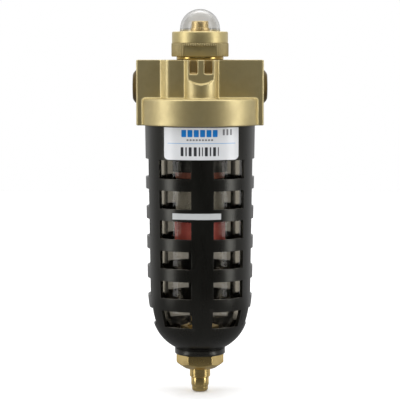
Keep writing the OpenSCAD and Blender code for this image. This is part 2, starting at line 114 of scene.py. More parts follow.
class Surface:
    """A material with one Principled shader, and short calls to add nodes to it."""

    def __init__(self, name, **settings):
        self.material = bpy.data.materials.new(name)
        self.material.use_nodes = True
        self.tree = self.material.node_tree
        self.shader = self.tree.nodes["Principled BSDF"]
        self.output = self.tree.nodes["Material Output"]
        for socket, value in settings.items():
            self.shader.inputs[socket.replace("_", " ")].default_value = value
        coordinates = self.tree.nodes.new("ShaderNodeTexCoord")
        scale = self.tree.nodes.new("ShaderNodeVectorMath")
        scale.operation = "SCALE"
        scale.inputs["Scale"].default_value = 1 / MM
        self.tree.links.new(coordinates.outputs["Object"], scale.inputs[0])
        self.place_mm = scale.outputs[0]

    def put(self, socket, value):
        """Feeds a node input from another node's output, or sets its constant."""
        if hasattr(value, "is_output"):
            self.tree.links.new(value, socket)
        elif value is not None:
            socket.default_value = value

    def math(self, operation, a, b=None, c=None, clamp=False):
        node = self.tree.nodes.new("ShaderNodeMath")
        node.operation = operation
        node.use_clamp = clamp
        for socket, value in zip(node.inputs, (a, b, c)):
            self.put(socket, value)
        return node.outputs[0]

    def stretch(self, factors):
        """The place in millimetres with each axis multiplied by its own factor."""
        node = self.tree.nodes.new("ShaderNodeVectorMath")
        node.operation = "MULTIPLY"
        self.put(node.inputs[0], self.place_mm)
        node.inputs[1].default_value = factors
        return node.outputs[0]

    def noise(self, size_mm, detail=3.0, place=None, rough=0.5):
        """Noise from 0 to 1 whose blobs are about size_mm across."""
        node = self.tree.nodes.new("ShaderNodeTexNoise")
        self.put(node.inputs["Vector"], self.place_mm if place is None else place)
        node.inputs["Scale"].default_value = 1 / size_mm
        node.inputs["Detail"].default_value = detail
        node.inputs["Roughness"].default_value = rough
        return node.outputs[0]

    def remap(self, value, low, high, to_low=0.0, to_high=1.0, smooth=True):
        node = self.tree.nodes.new("ShaderNodeMapRange")
        node.interpolation_type = "SMOOTHSTEP" if smooth else "LINEAR"
        for socket, number in zip(list(node.inputs)[:5], (value, low, high, to_low, to_high)):
            self.put(socket, number)
        return node.outputs[0]

    def blend(self, factor, first, second):
        """A colour between two colours."""
        node = self.tree.nodes.new("ShaderNodeMix")
        node.data_type = "RGBA"
        self.put(node.inputs["Factor"], factor)
        self.put(node.inputs[6], colour(first))
        self.put(node.inputs[7], colour(second))
        return node.outputs[2]

    def parts(self):
        """x, y and z of the place in millimetres."""
        node = self.tree.nodes.new("ShaderNodeSeparateXYZ")
        self.put(node.inputs[0], self.place_mm)
        return node.outputs

    def length(self, a, b):
        """Length of a line whose sides are a and b."""
        return self.math("SQRT", self.math("ADD", self.math("POWER", a, 2.0), self.math("POWER", b, 2.0)))

    def beyond(self, value, middle, reach):
        """How far the value is past a stretch of that reach each side of the middle, or 0."""
        off = self.math("ABSOLUTE", self.math("SUBTRACT", value, middle))
        return self.math("MAXIMUM", self.math("SUBTRACT", off, reach), 0.0)

    def edges(self, low=0.50, high=0.56):
        """1 along outer edges and 0 elsewhere."""
        node = self.tree.nodes.new("ShaderNodeNewGeometry")
        return self.remap(node.outputs["Pointiness"], low, high)

    def bump(self, height, depth_mm, after=None):
        node = self.tree.nodes.new("ShaderNodeBump")
        self.put(node.inputs["Height"], height)
        node.inputs["Distance"].default_value = depth_mm * MM
        if after is not None:
            self.put(node.inputs["Normal"], after)
        return node.outputs[0]

    def wire(self, socket, value):
        self.put(self.shader.inputs[socket], value)


def colour(value):
    return (*value, 1.0) if isinstance(value, tuple) and len(value) == 3 else value


# ---------------------------------------------------------------- materials

GOLD = (0.64, 0.53, 0.25)
# painted highlight: lighter gold for the cast head's outer edges
GOLD_EDGE_HIGHLIGHT = (0.76, 0.65, 0.37)
GOLD_DULL = (0.56, 0.455, 0.21)
# painted shade: darker gold for the bonnet nut's knurled band
GOLD_KNURL_SHADE = (0.40, 0.325, 0.155)
# painted shade: darker gold for the pockets in the front and back bosses
POCKET_SHADE_GOLD = (0.50, 0.36, 0.13)
POCKET_SHADE_DULL = (0.42, 0.30, 0.10)
# painted shade: dark colours for the port bosses on the head's sides
PORT_SHADE = (0.15, 0.098, 0.028)
PORT_SHADE_DULL = (0.12, 0.078, 0.022)
BRASS = (0.82, 0.61, 0.25)
BRASS_DULL = (0.70, 0.51, 0.20)
LACQUER = {"Coat_Weight": 0.9, "Coat_Roughness": 0.42, "Coat_IOR": 1.6}
THIN_LACQUER = {"Coat_Weight": 0.45, "Coat_Roughness": 0.42, "Coat_IOR": 1.6}
BOWL_SMOKE_PER_M = 117


def cast_gold():
    """Die-cast metal under a satin gold lacquer: fine grain, cloudy tone, and edges painted brighter as a
    highlight.
    """
    s = Surface("cast_gold", Metallic=1.0, **LACQUER)
    cloud = s.noise(9, 4)
    grain = s.noise(0.32, 2, rough=0.6)
    base = s.blend(s.remap(cloud, 0.35, 0.7), GOLD, GOLD_DULL)
    # painted highlight: the base colour turns lighter along outer edges
    s.wire("Base Color", s.blend(s.math("MULTIPLY", s.edges(), 0.2), base, GOLD_EDGE_HIGHLIGHT))
    s.wire("Roughness", s.math("ADD", s.remap(cloud, 0.3, 0.7, 0.45, 0.50),
                               s.math("MULTIPLY", grain, 0.05)))
    s.wire("Normal", s.bump(s.noise(2.6, 3), 0.03, s.bump(grain, 0.016)))
    return s.material


def turned_metal(name, fresh, dull, roughness, mark_depth, **settings):
    """Metal from a lathe: fine rings round the axis, and a thin dull film in patches."""
    s = Surface(name, Metallic=1.0, **settings)
    rings = s.noise(0.22, 2, s.stretch((0.02, 0.02, 1)))
    film = s.noise(4.5, 3)
    s.wire("Base Color", s.blend(s.remap(film, 0.40, 0.75), fresh, dull))
    s.wire("Roughness", s.math("ADD", s.remap(film, 0.3, 0.75, roughness, roughness + 0.06),
                               s.math("MULTIPLY", rings, 0.04)))
    s.wire("Normal", s.bump(rings, mark_depth))
    return s.material


def knurled_gold():
    """The bonnet nut's lacquered metal, rougher where it is knurled, with painted shade making the knurled
    band darker.
    """
    s = Surface("knurled_gold", Metallic=1.0, **THIN_LACQUER)
    rings = s.noise(0.22, 2, s.stretch((0.02, 0.02, 1)))
    x, y, z = s.parts()
    knurled = s.remap(s.length(x, y), 15.32, 15.42)
    base = s.blend(s.remap(s.noise(4.5, 3), 0.40, 0.75), GOLD, GOLD_DULL)
    # painted shade: the knurled band's base colour is darker
    s.wire("Base Color", s.blend(knurled, base, GOLD_KNURL_SHADE))
    s.wire("Roughness", s.math("ADD", s.remap(knurled, 0.0, 1.0, 0.46, 0.58),
                               s.math("MULTIPLY", rings, 0.04)))
    s.wire("Normal", s.bump(rings, 0.008))
    return s.material


def black_moulding():
    """Glass-filled black plastic with a satin skin, faint flow lines, and a painted highlight along its
    edges.
    """
    s = Surface("black_moulding", Specular_IOR_Level=0.5, IOR=1.5, Specular_Tint=(1.0, 0.985, 0.90, 1.0))
    flow = s.noise(7, 4, s.stretch((1, 1, 0.25)))
    grain = s.noise(0.28, 3, rough=0.65)
    base = s.blend(s.remap(flow, 0.35, 0.7), (0.0014, 0.0013, 0.0008), (0.0026, 0.0024, 0.0018))
    # painted highlight: outer edges lighter than the rest of the moulding
    s.wire("Base Color", s.blend(s.math("MULTIPLY", s.edges(), 0.5), base, (0.016, 0.015, 0.013)))
    s.wire("Roughness", s.math("ADD", s.remap(flow, 0.3, 0.7, 0.24, 0.30), s.math("MULTIPLY", grain, 0.05)))
    s.wire("Normal", s.bump(s.noise(4.5, 2), 0.02, s.bump(grain, 0.010)))
    return s.material


def plastic(name, light, dark, roughness):
    """Moulded plastic: soft sheen, slight unevenness of tone."""
    s = Surface(name, IOR=1.49)
    flow = s.noise(6, 3)
    s.wire("Base Color", s.blend(s.remap(flow, 0.35, 0.7), light, dark))
    s.wire("Roughness", s.remap(flow, 0.3, 0.7, roughness, roughness + 0.1))
    s.wire("Normal", s.bump(s.noise(0.5, 3), 0.008))
    return s.material


def rubber():
    s = Surface("black_rubber", IOR=1.5)
    skin = s.noise(0.4, 3)
    s.wire("Base Color", s.blend(skin, (0.012, 0.012, 0.012), (0.028, 0.027, 0.026)))
    s.wire("Roughness", s.remap(skin, 0.3, 0.7, 0.5, 0.68))
    s.wire("Normal", s.bump(skin, 0.012))
    return s.material


def wire_steel():
    """Drawn spring wire with a dark film."""
    s = Surface("spring_steel", Metallic=1.0)
    film = s.noise(0.9, 3)
    s.wire("Base Color", s.blend(film, (0.50, 0.49, 0.47), (0.33, 0.32, 0.31)))
    s.wire("Roughness", s.remap(film, 0.3, 0.7, 0.22, 0.38))
    s.wire("Normal", s.bump(s.noise(0.25, 2), 0.004))
    return s.material


def sintered():
    """Sintered plastic beads: a fine open grain."""
    s = Surface("sintered_white", IOR=1.49)
    cells = s.tree.nodes.new("ShaderNodeTexVoronoi")
    s.put(cells.inputs["Vector"], s.place_mm)
    cells.inputs["Scale"].default_value = 1 / 0.42
    beads = cells.outputs["Distance"]
    shade = s.remap(beads, 0.1, 0.75)
    tone = s.blend(s.remap(s.noise(5, 3), 0.3, 0.7), (0.90, 0.88, 0.80), (0.82, 0.80, 0.73))
    s.wire("Base Color", s.blend(shade, tone, (0.45, 0.43, 0.38)))
    s.wire("Roughness", s.remap(beads, 0.0, 0.6, 0.62, 0.85))
    s.wire("Normal", s.bump(s.math("SUBTRACT", 1.0, beads), 0.12))
    return s.material


def clear_plastic(name, tint, ior, haze, roughness):
    """Clear plastic, bending light less than solid polycarbonate would, with a faint haze. Lamp light
    passes straight to what is inside."""
    s = Surface(name, Transmission_Weight=1.0, IOR=ior)
    s.wire("Base Color", s.blend(s.remap(s.noise(8, 3), 0.3, 0.7), tint, tuple(0.985 * c for c in tint)))
    s.wire("Roughness", s.remap(s.noise(5, 3), 0.4, 0.8, roughness, roughness + haze))
    s.wire("Normal", s.bump(s.noise(3.5, 2), 0.006))
    clear = s.tree.nodes.new("ShaderNodeBsdfTransparent")
    clear.inputs["Color"].default_value = colour((0.97, 0.97, 0.96))
    paths = s.tree.nodes.new("ShaderNodeLightPath")
    either = s.tree.nodes.new("ShaderNodeMixShader")
    s.put(either.inputs[0], paths.outputs["Is Shadow Ray"])
    s.put(either.inputs[1], s.shader.outputs[0])
    s.put(either.inputs[2], clear.outputs[0])
    s.put(s.output.inputs["Surface"], either.outputs[0])
    return s.material


def smoked_bowl():
    """The bowl's plastic: its smoky brown shows where a look passes along the wall."""
    material = clear_plastic("clear_bowl", (0.95, 0.94, 0.92), 1.25, 0.03, 0.05)
    tree = material.node_tree
    smoke = tree.nodes.new("ShaderNodeVolumeAbsorption")
    smoke.inputs["Color"].default_value = colour((0.30, 0.24, 0.10))
    smoke.inputs["Density"].default_value = BOWL_SMOKE_PER_M
    tree.links.new(smoke.outputs[0], tree.nodes["Material Output"].inputs["Volume"])
    return material


def sheet_print(name, marks, paper):
    """A printed sheet on the guard. Each mark is a bar: (middle across, middle up, half width, half
    height, corner, ink), in millimetres round the sheet from the front and above its lower edge."""
    s = Surface(name, Roughness=0.3, IOR=1.5, Coat_Weight=0.25, Coat_Roughness=0.15)
    x, y, z = s.parts()
    low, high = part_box("product_label")
    radius = -low.y / MM
    across = s.math("MULTIPLY", s.math("ARCTAN2", x, s.math("MULTIPLY", y, -1.0)), radius)
    up = s.math("SUBTRACT", z, low.z / MM)
    tone = s.blend(s.remap(s.noise(6, 3), 0.3, 0.7), paper, tuple(0.96 * c for c in paper))
    for middle, height, half_w, half_h, corner, ink in marks:
        past_x = s.beyond(across, middle, half_w - corner)
        past_z = s.beyond(up, height, half_h - corner)
        distance = s.length(past_x, past_z)
        tone = s.blend(s.remap(distance, corner - 0.06, corner + 0.06, 1.0, 0.0), tone, ink)
    s.wire("Base Color", tone)
    s.wire("Normal", s.bump(s.noise(1.4, 2), 0.006))
    return s.material


BLUE_INK = (0.005, 0.165, 0.50)
RULE_INK = (0.08, 0.30, 0.62)
GREY_INK = (0.16, 0.16, 0.17)
DARK_INK = (0.025, 0.025, 0.03)


def label_marks():
    """Generic print: a row of blue blocks, fine grey dashes, a rule, and two rows of ticks."""
    marks = [(-8.8 + 3.4 * i, 14.2, 1.35, 1.9, 0.4, BLUE_INK) for i in range(6)]
    marks += [(-6.7 + 1.65 * i, 10.7, 0.55, 0.45, 0.15, GREY_INK) for i in range(9)]
    marks += [(1.0, 8.85, 19.5, 0.14, 0.05, RULE_INK)]
    marks += [(13.1 + 2.2 * i, 14.8, 0.6, 1.6, 0.2, GREY_INK) for i in range(3)]
    tick_widths = (1.0, 0.5, 1.0, 1.0, 0.5, 0.35, 1.0, 0.5, 1.0, 0.35)
    across = -10.8
    for width in tick_widths:
        across += width
        marks += [(across, 4.5, 0.8 * width, 2.4, 0.3, DARK_INK)]
        across += width + 0.75
    return marks


MATERIALS = {
    "cast_gold": cast_gold(),
    "turned_gold": turned_metal("turned_gold", GOLD, GOLD_DULL, 0.46, 0.008, **LACQUER),
    "knurled_gold": knurled_gold(),
    # painted shade: the port bosses' dark metal
    "port_boss_shade": turned_metal("port_boss_shade", PORT_SHADE, PORT_SHADE_DULL, 0.36, 0.006),
    # painted shade: the boss pockets' darker metal
    "pocket_shade_gold": turned_metal("pocket_shade_gold", POCKET_SHADE_GOLD, POCKET_SHADE_DULL, 0.50, 0.01, **LACQUER),
    "polished_brass": turned_metal("polished_brass", BRASS, BRASS_DULL, 0.20, 0.003),
    "washer_brass": turned_metal("washer_brass", (0.52, 0.38, 0.13), (0.44, 0.32, 0.11), 0.16, 0.003),
    "turned_brass": turned_metal("turned_brass", (0.76, 0.60, 0.32), (0.64, 0.50, 0.26), 0.42, 0.006),
    "spring_steel": wire_steel(),
    "black_rubber": rubber(),
    "dark_plastic": plastic("dark_plastic", (0.030, 0.032, 0.030), (0.018, 0.019, 0.018), 0.35),
    "red_plastic": plastic("red_plastic", (0.92, 0.19, 0.17), (0.84, 0.155, 0.14), 0.42),
    "brown_plastic": plastic("brown_plastic", (0.52, 0.19, 0.14), (0.44, 0.16, 0.12), 0.42),
    "sintered_white": sintered(),
    "black_moulding": black_moulding(),
    "clear_dome": clear_plastic("clear_dome", (0.80, 0.79, 0.765), 1.30, 0.06, 0.12),
    "clear_bowl": smoked_bowl(),
    "label_sheet": sheet_print("label_sheet", label_marks(), (0.675, 0.685, 0.70)),
    "strip_sheet": sheet_print("strip_sheet", [], (0.49, 0.505, 0.505)),
}
SLOT_LOOKS = {"satin_gold": "cast_gold"}


def finish_cad_nodes():
    """Every carried-over CAD node gets the material of its slot, and the element's cap is browner."""
    for node in frame["nodes"].values():
        for place in node.material_slots:
            slot = place.material.name.split(".")[0]
            place.material = MATERIALS[SLOT_LOOKS.get(slot, slot)]
    frame["nodes"]["element_cap"].material_slots[0].material = MATERIALS["brown_plastic"]


# ---------------------------------------------------------------- mesh helpers


def make_piece(name, points, faces, look, sharp=38):
    """A mesh object from points and faces: merged, facing outwards, smooth except at sharp edges."""
    mesh = bpy.data.meshes.new(name)
    mesh.from_pydata(points, [], faces)
    work = bmesh.new()
    work.from_mesh(mesh)
    bmesh.ops.remove_doubles(work, verts=work.verts, dist=1e-7)
    bmesh.ops.recalc_face_normals(work, faces=work.faces)
    work.to_mesh(mesh)
    work.free()
    return link_piece(name, mesh, look, sharp)


def link_piece(name, mesh, look, sharp=38):
    mesh.materials.clear()
    mesh.materials.append(MATERIALS[look])
    mesh.shade_smooth()
    mesh.set_sharp_from_angle(angle=math.radians(sharp))
    piece = bpy.data.objects.new(name, mesh)
    bpy.context.scene.collection.objects.link(piece)
    return piece


def stands_for(piece, node):
    """The piece rides with the CAD node's body and is shown in its place."""
    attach(piece, frame["nodes"][node]["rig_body"])
    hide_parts(node)
    return piece


def rounded(outline, steps=4):
    """Corners (r, z, setback) in millimetres as points, each corner with a setback made round."""
    points = []
    count = len(outline)
    for i, corner in enumerate(outline):
        here = Vector(corner[:2])
        setback = corner[2] if len(corner) > 2 else 0
        if not setback:
            points.append(here)
            continue
        back = Vector(outline[i - 1][:2]) - here
        ahead = Vector(outline[(i + 1) % count][:2]) - here
        start = here + back.normalized() * min(setback, 0.49 * back.length)
        end = here + ahead.normalized() * min(setback, 0.49 * ahead.length)
        for k in range(steps + 1):
            t = k / steps
            points.append(start.lerp(here, t).lerp(here.lerp(end, t), t))
    return points


def arc(centre, radius, start, end, steps):
    """Points (r, z) of an arc between two angles in degrees."""
    angles = [math.radians(start + (end - start) * i / steps) for i in range(steps + 1)]
    return [(centre[0] + radius * math.cos(a), centre[1] + radius * math.sin(a)) for a in angles]


def ring_faces(columns, rows):
    """Faces of a grid closed in both directions: columns round the axis, rows round the outline."""
    faces = []
    for c in range(columns):
        for r in range(rows):
            d, s = (c + 1) % columns, (r + 1) % rows
            faces.append((c * rows + r, d * rows + r, d * rows + s, c * rows + s))
    return faces


def lathe(name, outline, look, columns=144, sharp=38):
    """Turns a closed outline of (r, z) or (r, z, setback), in millimetres, round the axis."""
    profile = rounded(outline)
    points = []
    for c in range(columns):
        a = 2 * math.pi * c / columns
        points += [(p[0] * math.cos(a) * MM, p[0] * math.sin(a) * MM, p[1] * MM) for p in profile]
    faces = ring_faces(columns, len(profile))
    if min(p[0] for p in profile) <= 0:
        faces = without_axis_faces(faces, profile)
    return make_piece(name, points, faces, look, sharp)


def without_axis_faces(faces, profile):
    """Leaves out the flat faces along the axis itself."""
    rows = len(profile)
    on_axis = [p[0] <= 1e-9 for p in profile]
    return [f for f in faces if not (on_axis[f[0] % rows] and on_axis[f[3] % rows])]


def softened(name, node, look, voxel_mm, passes, keep, sharp=50):
    """A copy of a CAD node with every edge rounded a little, as casting or polishing leaves it."""
    piece = bpy.data.objects.new(name, frame["nodes"][node].data.copy())
    bpy.context.scene.collection.objects.link(piece)
    remesh = piece.modifiers.new("remesh", "REMESH")
    remesh.mode = "VOXEL"
    remesh.voxel_size = voxel_mm * MM
    smooth = piece.modifiers.new("smooth", "SMOOTH")
    smooth.factor = 0.5
    smooth.iterations = passes
    thin = piece.modifiers.new("thin", "DECIMATE")
    thin.ratio = keep
    bpy.context.view_layer.update()
    mesh = bpy.data.meshes.new_from_object(piece.evaluated_get(bpy.context.evaluated_depsgraph_get()))
    bpy.data.objects.remove(piece)
    return link_piece(name, mesh, look, sharp)


def thread_ridge(name, look, root, crest, start, end, pitch, steps=72):
    """A helical ridge about Z, in millimetres, from its root radius to its crest radius."""
    turns = (end - start) / pitch
    count = int(turns * steps)
    half_root, half_crest = 0.46 * pitch, 0.10 * pitch
    points, faces = [], []
    for i in range(count + 1):
        a = 2 * math.pi * i / steps
        fade = min(1.0, 6 * i / steps, 6 * (count - i) / steps)
        z = start + pitch * i / steps
        top = root + (crest - root) * fade
        for r, dz in ((root, -half_root), (top, -half_crest), (top, half_crest), (root, half_root)):
            points.append((r * math.cos(a) * MM, r * math.sin(a) * MM, (z + dz) * MM))
        if i:
            b, e = 4 * (i - 1), 4 * i
            faces += [(b + k, b + (k + 1) % 4, e + (k + 1) % 4, e + k) for k in range(4)]
    faces += [(0, 1, 2, 3), (4 * count + 3, 4 * count + 2, 4 * count + 1, 4 * count)]
    return make_piece(name, points, faces, look, 30)


# ---------------------------------------------------------------- head


PORT_BOSS = 2.2  # how far each port boss stands out of the block, in millimetres
BOSS_X = 0.5  # how far right of the middle the front boss is
POCKET_ACROSS = (1.8, 6.3)  # from the boss's middle
POCKET_OUT = (15.35, 20.7)  # from the axis
POCKET_H = 7.9


def head_finish(place, size):
    """1 on the port bosses, painted dark as shade, 2 in the pockets of the front and back bosses, painted
    darker as shade, else 0.
    """
    x, y, z = (part / MM for part in place)
    across = abs(x - BOSS_X if y < 0 else x + BOSS_X)
    in_pocket = (POCKET_ACROSS[0] < across < POCKET_ACROSS[1] and POCKET_OUT[0] < abs(y) < POCKET_OUT[1]
                 and z > size.z / MM - POCKET_H)
    return 2 if in_pocket else int(abs(x) > size.x / MM - PORT_BOSS)


def head_pieces():
    head = softened("cast_head", "head_casting", "cast_gold", 0.38, 3, 0.5)
    stands_for(head, "head_casting")
    low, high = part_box("head_casting")
    # painted shade: darker materials on the port bosses and in the boss pockets
    head.data.materials.append(MATERIALS["port_boss_shade"])
    head.data.materials.append(MATERIALS["pocket_shade_gold"])
    for face in head.data.polygons:
        face.material_index = head_finish(face.center, high)
    port_z = record_mount_height("inlet_port")
    for side, name in ((-1, "inlet_thread"), (1, "outlet_thread")):
        ridge = thread_ridge(name, "turned_gold", 5.75, 5.25, 0, 11.5, 1.34, 48)
        face = high.x / MM - 0.9
        for vertex in ridge.data.vertices:
            x, y, z = vertex.co
            vertex.co = (side * (face * MM - z), y, port_z + x)
        if side > 0:
            ridge.data.flip_normals()
        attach(ridge, "head")


def record_mount_height(name):
    """Height of a mount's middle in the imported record."""
    mounts = {mount["name"]: mount for mount in frame["record"]["mounts"]}
    return mounts[name]["pos_m"][2]


NUT_R = 15.3
KNURL_R = 15.62
KNURL_DEPTH = 0.20
KNURL_TEETH = 72
NUT_FLATS = 25.6


def nut_radius(angle, z, knurl_top, flat_top):
    """Radius of the bonnet nut: knurled below, plain above, with a wrench flat front and back."""
    radius = NUT_R
    if z < knurl_top:
        wave = abs(math.sin(KNURL_TEETH * angle / 2))
        radius = KNURL_R - KNURL_DEPTH * (1 - wave)
    if z < flat_top:
        radius = min(radius, NUT_FLATS / 2 / max(abs(math.sin(angle)), 0.1))
    return radius


def bonnet_nut():
    low, high = (v.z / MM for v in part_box("bonnet_nut"))
    knurl_top, flat_top, lip_r, bore_r = low + 7.4, low + 6.0, 11.3, 11.97
    rim = [(low, -0.45), (low + 0.18, -0.12), (low + 0.5, 0), (flat_top - 0.12, 0), (flat_top, 0),
           (flat_top + 0.02, 0), (knurl_top - 0.35, 0), (knurl_top - 0.1, -0.12), (knurl_top, -0.32),
           (knurl_top + 0.12, 0), (high - 0.7, 0), (high - 0.45, -0.08), (high - 0.2, -0.25), (high, -0.6)]
    inside = [(lip_r + 0.3, high), (lip_r, high - 0.3), (lip_r, high - 1.8), (bore_r, high - 1.8),
              (bore_r, low)]
    columns = 16 * KNURL_TEETH
    points = []
    for c in range(columns):
        a = 2 * math.pi * c / columns
        outer = [(nut_radius(a, z, knurl_top, flat_top) + offset, z) for z, offset in rim]
        points += [(r * math.cos(a) * MM, r * math.sin(a) * MM, z * MM) for r, z in outer + inside]
    faces = ring_faces(columns, len(rim) + len(inside))
    nut = make_piece("bonnet_nut_turned", points, faces, "knurled_gold", 32)
    stands_for(nut, "bonnet_nut")


def neck_ring():
    low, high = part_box("neck_washer")
    outer = high.x / MM
    z0, z1 = low.z / MM, high.z / MM
    ring = lathe("neck_ring", [(9.1, z0), (outer, z0, 0.6), (outer, z1, 0.4), (9.1, z1)], "washer_brass")
    stands_for(ring, "neck_washer")


def dome():
    low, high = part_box("sight_dome")
    z0, z1 = low.z / MM, high.z / MM
    radius, wall, flange_h = 10.9, 1.5, 1.6
    centre = z1 - radius
    outer = arc((0, centre), radius, 90, 0, 28)
    inner = arc((0, centre), radius - wall, 0, 90, 28)
    skirt = [(radius + 0.3, centre - 1.4, 0.4), (radius + 0.3, z0 + flange_h, 0.15),
             (11.83, z0 + flange_h, 0.2), (11.83, z0, 0.2), (radius - wall, z0, 0.3)]
    piece = lathe("clear_dome", outer + skirt + inner, "clear_dome", 128)
    stands_for(piece, "sight_dome")


def indicator_pieces():
    low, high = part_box("indicator_housing")
    z0, z1 = low.z / MM, high.z / MM
    shoulder = z0 + 18.9
    seat_top, bore_top = z1 - 2.4, z1 - 3.4
    housing = lathe("sight_seat", [
        (7.2, z0), (9.0, z0, 0.3), (9.0, z0 + 2.5), (8.1, z0 + 2.5), (8.1, z0 + 4.0), (9.0, z0 + 4.0),
        (9.0, z0 + 10), (11.9, z0 + 10, 0.3), (11.9, shoulder, 0.4), (9.15, shoulder),
        (9.15, seat_top, 0.5), (5.2, seat_top, 0.3), (5.2, z1, 0.2), (4.66, z1, 0.1), (4.66, bore_top),
        (7.2, bore_top)], "turned_brass")
    stands_for(housing, "indicator_housing")


def coil(name, radius, wire, low, high, turns, look):
    """A compression spring with closed ends, in millimetres."""
    steps, sides = 48, 12
    total = int((turns + 2) * steps)
    points, faces = [], []
    for i in range(total + 1):
        turn = i / steps
        climb = min(max((turn - 1) / turns, 0), 1)
        closed = wire * 1.02 * (min(turn, 1) + min(max(turn - 1 - turns, 0), 1))
        z = low + wire / 2 + closed + climb * (high - low - wire - 2 * wire * 1.02)
        a = 2 * math.pi * turn
        for k in range(sides):
            b = 2 * math.pi * k / sides
            r = radius + wire / 2 * math.cos(b)
            points.append((r * math.cos(a) * MM, r * math.sin(a) * MM, (z + wire / 2 * math.sin(b)) * MM))
        if i:
            p, q = sides * (i - 1), sides * i
            faces += [(p + k, p + (k + 1) % sides, q + (k + 1) % sides, q + k) for k in range(sides)]
    faces += [tuple(range(sides)), tuple(sides * total + k for k in reversed(range(sides)))]
    return make_piece(name, points, faces, look, 60)


def springs():
    for node, joint in (("indicator_spring", "indicator_rise"), ("drain_spring", "drain_push")):
        low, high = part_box(node)
        wire = 0.8
        radius = high.x / MM - wire / 2
        piece = coil(node + "_wire", radius, wire, low.z / MM, high.z / MM, 2.6, "spring_steel")
        stands_for(piece, node)
        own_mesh(piece)


# ---------------------------------------------------------------- guard

WINDOW_ANGLE = 38.6
WINDOW_CENTRES = (31.3, 90, 148.7, 211.3, 270, 328.7)
GUARD_TURN = 2.65
GUARD_WALL = 1.9
GUARD_TOP_R = 30.1
GUARD_LOW_R = 28.75
GUARD_TOP = 126.5
GUARD_TAPER = 37
WIDE_ARC_R = 62
NOSE_ARC_R = 23.2
NOSE_ARC_OUT = 3.5
NOSE_ARC_UP = 24.6
NOSE_START = 17.5
NECK_R = 13.85
ROWS = 6
ROW_PITCH = 16.2
TOP_ROW = 98.2
ROW_H = 10
ROW_H_STEP = 0.15


def guard_outer(z, base):
    """Outer radius of the guard at the height z, where base is the height of its lowest point: a
    straight taper above, then a wide arc, then the tight arc of the nose, then the neck."""
    taper_z = base + GUARD_TAPER
    if z >= taper_z:
        share = (z - taper_z) / (GUARD_TOP - GUARD_TAPER)
        return GUARD_LOW_R + (GUARD_TOP_R - GUARD_LOW_R) * share
    if z >= base + NOSE_START:
        return GUARD_LOW_R - WIDE_ARC_R + math.sqrt(WIDE_ARC_R ** 2 - (taper_z - z) ** 2)
    drop = base + NOSE_ARC_UP - z
    if drop >= NOSE_ARC_R:
        return NECK_R
    return max(NOSE_ARC_OUT + math.sqrt(NOSE_ARC_R ** 2 - drop ** 2), NECK_R)


def window_bottoms(base):
    return [base + TOP_ROW - row * ROW_PITCH for row in range(ROWS)]


def guard_rows(base):
    """Heights of the guard's rings, with one at the top and bottom of each window."""
    heights = [base + GUARD_TOP - 0.2, base + 117]
    for row, bottom in enumerate(window_bottoms(base)):
        top = bottom + ROW_H - row * ROW_H_STEP
        heights += [top + (bottom - top) * i / 4 for i in range(5)]
        if row < ROWS - 1:
            below = bottom - ROW_PITCH + ROW_H - (row + 1) * ROW_H_STEP
            heights += [bottom + (below - bottom) * i / 3 for i in (1, 2)]
    middle = base + NOSE_ARC_UP
    start = math.asin((middle - heights[-1]) / NOSE_ARC_R)
    end = math.acos((NECK_R - NOSE_ARC_OUT) / NOSE_ARC_R)
    heights += [middle - NOSE_ARC_R * math.sin(start + (end - start) * i / 9) for i in range(1, 10)]
    return heights


def guard_columns():
    """Angles in degrees round the guard, with the windows' sides among them."""
    angles = []
    half = WINDOW_ANGLE / 2
    for i, centre in enumerate(WINDOW_CENTRES):
        following = WINDOW_CENTRES[(i + 1) % 6] + (360 if i == 5 else 0)
        angles += [(centre - half + WINDOW_ANGLE * k / 12, k < 12) for k in range(12)]
        start, end = centre + half, following - half
        angles += [(start + (end - start) * k / 6, False) for k in range(6)]
    return angles


def guard_inner(z, base):
    """Inner radius of the guard at the height z: one wall inside the outer skin."""
    slope = (guard_outer(z + 0.05, base) - guard_outer(z - 0.05, base)) / 0.1
    wall = GUARD_WALL * math.sqrt(1 + min(slope, 2.2) ** 2)
    return max(guard_outer(z, base) - wall, 11)


def guard_outline(base, top, rows):
    """Outline (r, z) of the guard's wall: down the outside, round the foot, up the inside, then the
    rim that goes into the head."""
    outer = [(guard_outer(z, base), z) for z in rows]
    inner = [(guard_inner(z, base), z) for z in reversed(rows)]
    foot = [(NECK_R, base + 3.7), (NECK_R, base + 0.5), (NECK_R - 0.5, base), (7.4, base), (7.4, base + 3.4),
            (11, base + 3.4)]
    rim = [(24.3, rows[0]), (24.3, base + 131.8), (27.3, base + 131.8), (27.3, top), (28.0, top),
           (28.0, rows[0])]
    return outer + foot + inner + rim, len(outer) + len(foot) + len(rows) - 1


def open_bands(base, rows):
    """For each band between two rings, whether the windows are in it."""
    bands = []
    for upper, lower in zip(rows, rows[1:]):
        middle = (upper + lower) / 2
        bands.append(any(bottom < middle < bottom + ROW_H - row * ROW_H_STEP
                         for row, bottom in enumerate(window_bottoms(base))))
    return bands


def guard_faces(columns, bands, count, last):
    """Faces of the guard's skins, left out at the windows, and of the windows' sides. A column has
    count points: number k of the outer skin is across the wall from number last - k."""
    faces = []
    total = len(columns)
    for c, (_, is_window) in enumerate(columns):
        here, ahead = c * count, (c + 1) % total * count
        for r in range(count):
            s = (r + 1) % count
            band = min(r, s) if r < len(bands) else last - max(r, s)
            if is_window and 0 <= band < len(bands) and bands[band]:
                continue
            faces.append((here + r, ahead + r, ahead + s, here + s))
        for k, is_open in enumerate(bands):
            if not is_open:
                continue
            if is_window != columns[c - 1][1]:
                faces.append((here + k, here + k + 1, here + last - k - 1, here + last - k))
            for edge, neighbour in ((k, k - 1), (k + 1, k + 1)):
                if is_window and not bands[neighbour]:
                    faces.append((here + edge, ahead + edge, ahead + last - edge, here + last - edge))
    return faces


